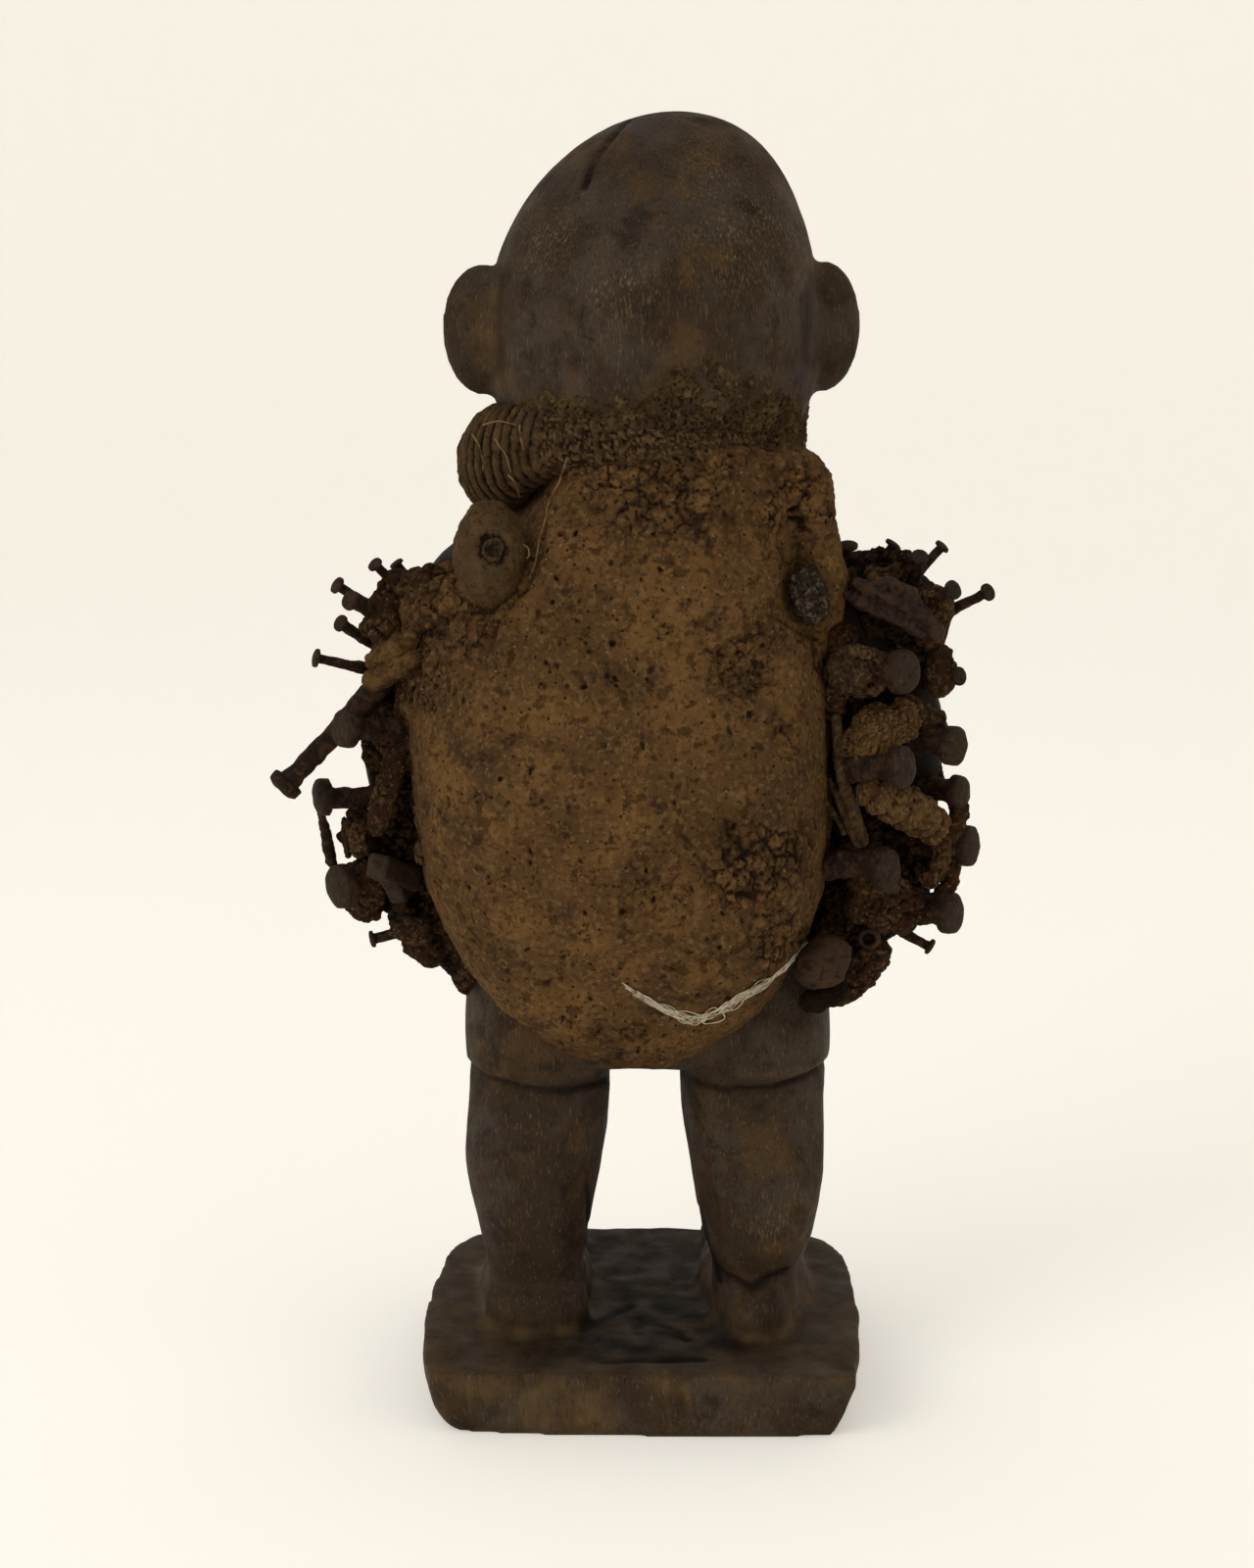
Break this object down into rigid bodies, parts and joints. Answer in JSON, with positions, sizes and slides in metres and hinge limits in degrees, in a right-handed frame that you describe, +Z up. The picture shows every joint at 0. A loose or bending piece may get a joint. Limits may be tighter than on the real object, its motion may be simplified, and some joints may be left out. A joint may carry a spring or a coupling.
{
  "type": "nail-studded wooden power figure",
  "caption": "Standing carved wooden figure on a square base, hands on hips, with a hardened earth mound on its back, a fibre collar and iron nails and bolts driven into both sides.",
  "frame": {"origin": "centre of the base's underside, between the middle of its sides", "axes": "+Z up; the figure faces -Y, so its left side is +X and its back, with the earth mound, is +Y"},
  "size_m": [0.2532, 0.151, 0.46],
  "materials": {
    "wood": "dark oiled and handled hardwood with pale dry grain flecks, satin",
    "earth": "sun-hardened earth, resin and chalk, matt, cracked and pitted",
    "fibre": "wrapped plant fibre caked with earth, matt",
    "hide": "old dark hide and cloth, dry with a dull sheen",
    "iron": "hand-forged iron, dark brown rust, dull",
    "cotton": "loose raw cotton threads, matt"
  },
  "bodies": {
    "root": {"wooden_figure": "wood", "back_mound": "earth", "neck_collar": "fibre", "left_arm_pack": "earth", "right_arm_pack": "earth", "left_shoulder_bundle": "hide", "right_shoulder_bundle": "hide", "right_round_bundle": "fibre", "right_fibre_wad": "fibre", "right_twisted_roll": "fibre", "right_hide_flap": "hide", "right_seat_packet": "hide", "right_splinter": "wood", "left_twisted_roll": "fibre", "left_wooden_peg": "wood", "left_iron_blade": "iron", "thread_wisp": "cotton", "left_nail_1": "iron", "left_nail_2": "iron", "left_nail_3": "iron", "left_nail_4": "iron", "left_nail_5": "iron", "left_nail_6": "iron", "left_spike_1": "iron", "left_spike_2": "iron", "left_spike_3": "iron", "left_bolt": "iron", "left_nail_7": "iron", "right_nail_1": "iron", "right_nail_2": "iron", "right_nail_3": "iron", "right_nail_4": "iron", "right_nail_5": "iron", "right_nail_6": "iron", "right_nail_7": "iron", "right_bolt_1": "iron", "right_bolt_2": "iron", "right_bolt_3": "iron", "right_bolt_4": "iron", "right_bolt_5": "iron", "right_bolt_6": "iron", "right_bolt_7": "iron", "right_nail_8": "iron", "right_iron_ring": "iron", "front_nail_1_1": "iron", "front_nail_1_2": "iron", "front_nail_1_3": "iron", "front_nail_1_4": "iron", "front_nail_2_1": "iron", "front_nail_2_2": "iron", "front_nail_3_1": "iron", "front_nail_3_2": "iron", "front_nail_3_3": "iron"}
  },
  "joints": []
}
